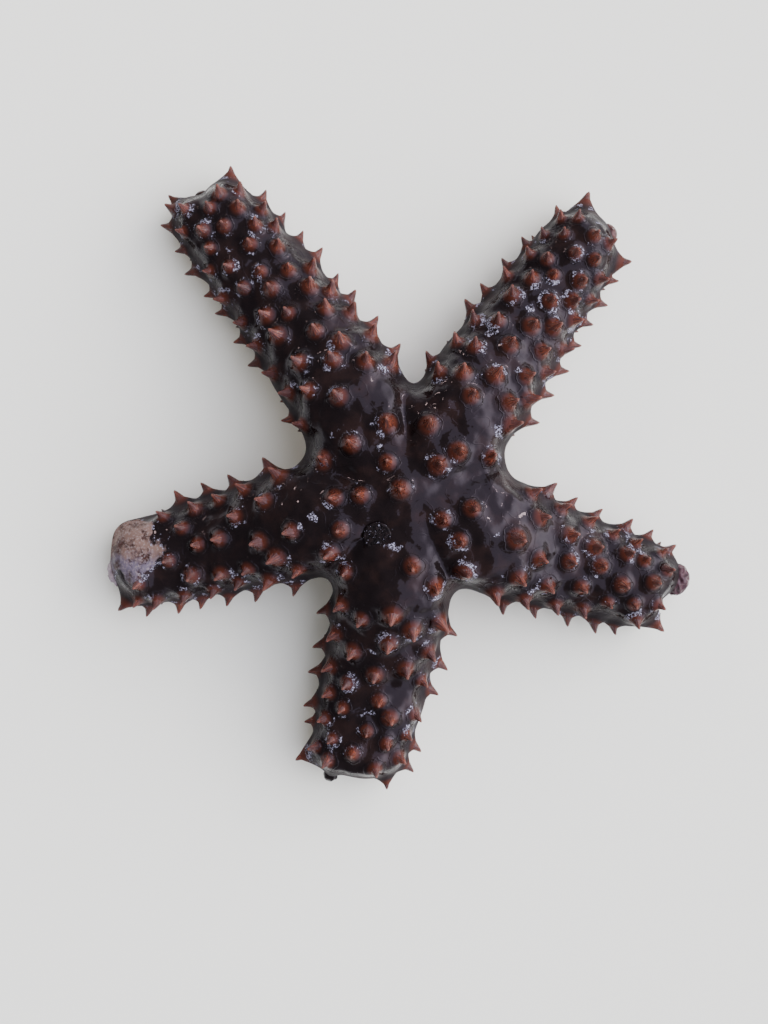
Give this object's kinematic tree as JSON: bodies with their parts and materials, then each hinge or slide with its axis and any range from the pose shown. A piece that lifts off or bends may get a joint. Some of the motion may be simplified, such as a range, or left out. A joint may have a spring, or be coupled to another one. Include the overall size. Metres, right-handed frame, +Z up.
{
  "type": "thorny sea star",
  "caption": "Thorny sea star with blunt tapering arms, rows of thorn-like spines, a sieve plate on the disc, and tube feet in a groove under each arm.",
  "frame": {"origin": "on the floor under the middle of the animal's box", "axes": "+Z up, away from the floor; the mouth faces -Z. +Y points between the two longest arms, which are the upper ones in plan"},
  "size_m": [0.0802, 0.0866, 0.0189],
  "materials": {
    "skin": "wet gloss",
    "plate": "rough",
    "membrane": "wet satin"
  },
  "bodies": {
    "root": {"disc": "skin", "arm_up_left": "skin", "arm_up_right": "skin", "arm_right": "skin", "arm_down": "skin", "arm_left": "skin", "madreporite": "plate", "tip_arm_up_left": "plate", "tip_arm_up_right": "plate", "tip_arm_right": "plate", "tip_arm_down": "plate", "tip_arm_left": "plate", "mouth_membrane": "membrane"}
  },
  "joints": []
}
